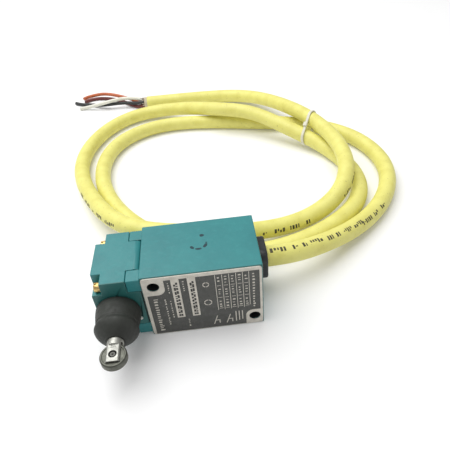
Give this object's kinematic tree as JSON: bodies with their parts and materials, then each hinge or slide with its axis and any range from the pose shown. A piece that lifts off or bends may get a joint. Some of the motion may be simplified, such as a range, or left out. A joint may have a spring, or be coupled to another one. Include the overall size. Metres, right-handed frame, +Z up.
{
  "type": "limit switch",
  "caption": "Compact prewired limit switch with a sealed sideways roller plunger on a square turnable head, a contact block inside the die-cast body and a long loosely coiled cord.",
  "frame": {"origin": "on the surface the switch lies on, below the middle of the switch's own box; the cord isn't counted", "axes": "+X along the body towards the cord entry, +Y from the nameplate to the back (the plunger is pressed along +Y), +Z up"},
  "size_m": [0.2526, 0.3329, 0.0408],
  "materials": {
    "teal_paint": "satin",
    "label_sheet": "printed",
    "gasket_rubber": "matt",
    "boot_rubber": "satin",
    "yellow_brass": "satin",
    "bushing_bronze": "satin",
    "bright_steel": "satin",
    "roller_steel": "satin",
    "spring_steel": "drawn",
    "phenolic": "moulded",
    "carriage_plastic": "moulded",
    "contact_copper": "satin",
    "gland_plastic": "moulded",
    "cord_yellow": "satin",
    "cord_paper": "fibrous",
    "tie_plastic": "translucent",
    "wire_black": "satin",
    "wire_white": "satin",
    "wire_orange": "satin",
    "wire_red": "satin"
  },
  "bodies": {
    "housing": {"body_housing": "teal_paint", "nameplate": "label_sheet", "head_housing": "teal_paint", "head_gasket": "gasket_rubber", "head_screws": "yellow_brass", "lock_pin": "bright_steel", "boot": "boot_rubber", "plunger_bushing": "bushing_bronze", "shaft_seal": "gasket_rubber", "return_spring": "spring_steel", "pin_guide": "bushing_bronze", "pin_seal": "gasket_rubber", "switch_case": "phenolic", "switch_cover": "phenolic", "contact_spring": "spring_steel", "nc_contacts": "contact_copper", "no_contacts": "contact_copper", "terminal_screws": "yellow_brass", "lead_black": "wire_black", "lead_white": "wire_white", "lead_orange": "wire_orange", "lead_red": "wire_red", "gland": "gland_plastic", "cord_grommet": "gasket_rubber", "cord_jacket": "cord_yellow", "cord_filler": "cord_paper", "cable_tie": "tie_plastic", "wire_black": "wire_black", "wire_white": "wire_white", "wire_orange": "wire_orange", "wire_red": "wire_red"},
    "plunger": {"plunger": "bright_steel", "cam": "bright_steel", "roller_pin": "bright_steel"},
    "roller": {"roller": "roller_steel"},
    "transfer": {"transfer_pin": "bright_steel"},
    "carriage": {"contact_carriage": "carriage_plastic", "moving_bridge": "contact_copper"}
  },
  "joints": [
    {"name": "plunger_slide", "type": "slide", "parent": "housing", "child": "plunger", "axis": [0, 1, 0], "range_m": [0, 0.0055], "stiffness_N_per_m": 1500, "springref_m": -0.005, "deforming": ["boot", "return_spring"]},
    {"name": "roller_spin", "type": "hinge", "parent": "plunger", "child": "roller", "pos_m": [-0.03235, -0.0278, 0.0204], "axis": [0, 0, 1], "continuous": true},
    {"name": "transfer_slide", "type": "slide", "parent": "housing", "child": "transfer", "axis": [1, 0, 0], "range_m": [0, 0.0022]},
    {"name": "carriage_slide", "type": "slide", "parent": "housing", "child": "carriage", "axis": [1, 0, 0], "range_m": [0, 0.0022], "deforming": ["contact_spring"]}
  ],
  "couplings": [
    {"joint": "transfer_slide", "follows": "plunger_slide", "ratio": 0.4},
    {"joint": "carriage_slide", "follows": "plunger_slide", "ratio": 0.4}
  ]
}
